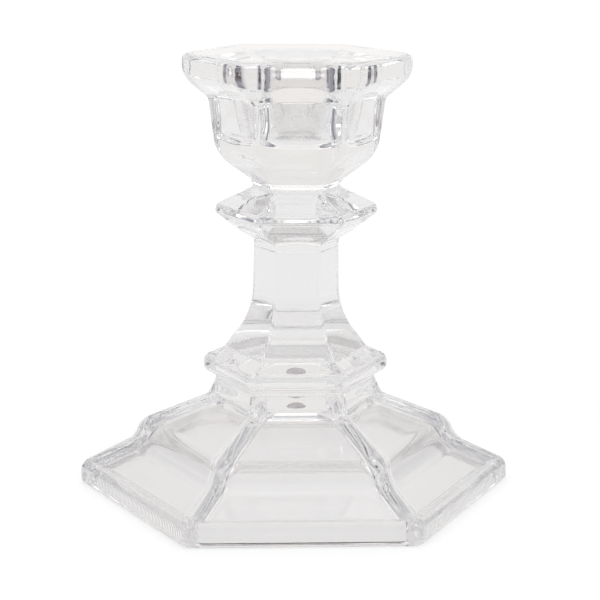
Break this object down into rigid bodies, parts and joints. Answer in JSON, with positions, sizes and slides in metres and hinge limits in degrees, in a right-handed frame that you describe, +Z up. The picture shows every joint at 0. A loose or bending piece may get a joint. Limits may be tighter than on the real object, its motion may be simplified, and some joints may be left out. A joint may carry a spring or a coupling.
{
  "type": "glass candlestick",
  "caption": "Clear pressed-glass candlestick with a hexagonal stepped foot, waisted stem, knop and panelled cup with a tapered candle socket.",
  "frame": {"origin": "middle of the face that the foot stands on", "axes": "+Z up through the stem to the candle socket, +X through a corner of the hexagon, -Y out of a flat side"},
  "size_m": [0.1398, 0.1224, 0.14],
  "materials": {
    "clear_glass": "fire-polished clear pressed glass"
  },
  "bodies": {
    "root": {"foot": "clear_glass", "plinth": "clear_glass", "stem": "clear_glass", "knop": "clear_glass", "wafer": "clear_glass", "candle_cup": "clear_glass"}
  },
  "joints": []
}
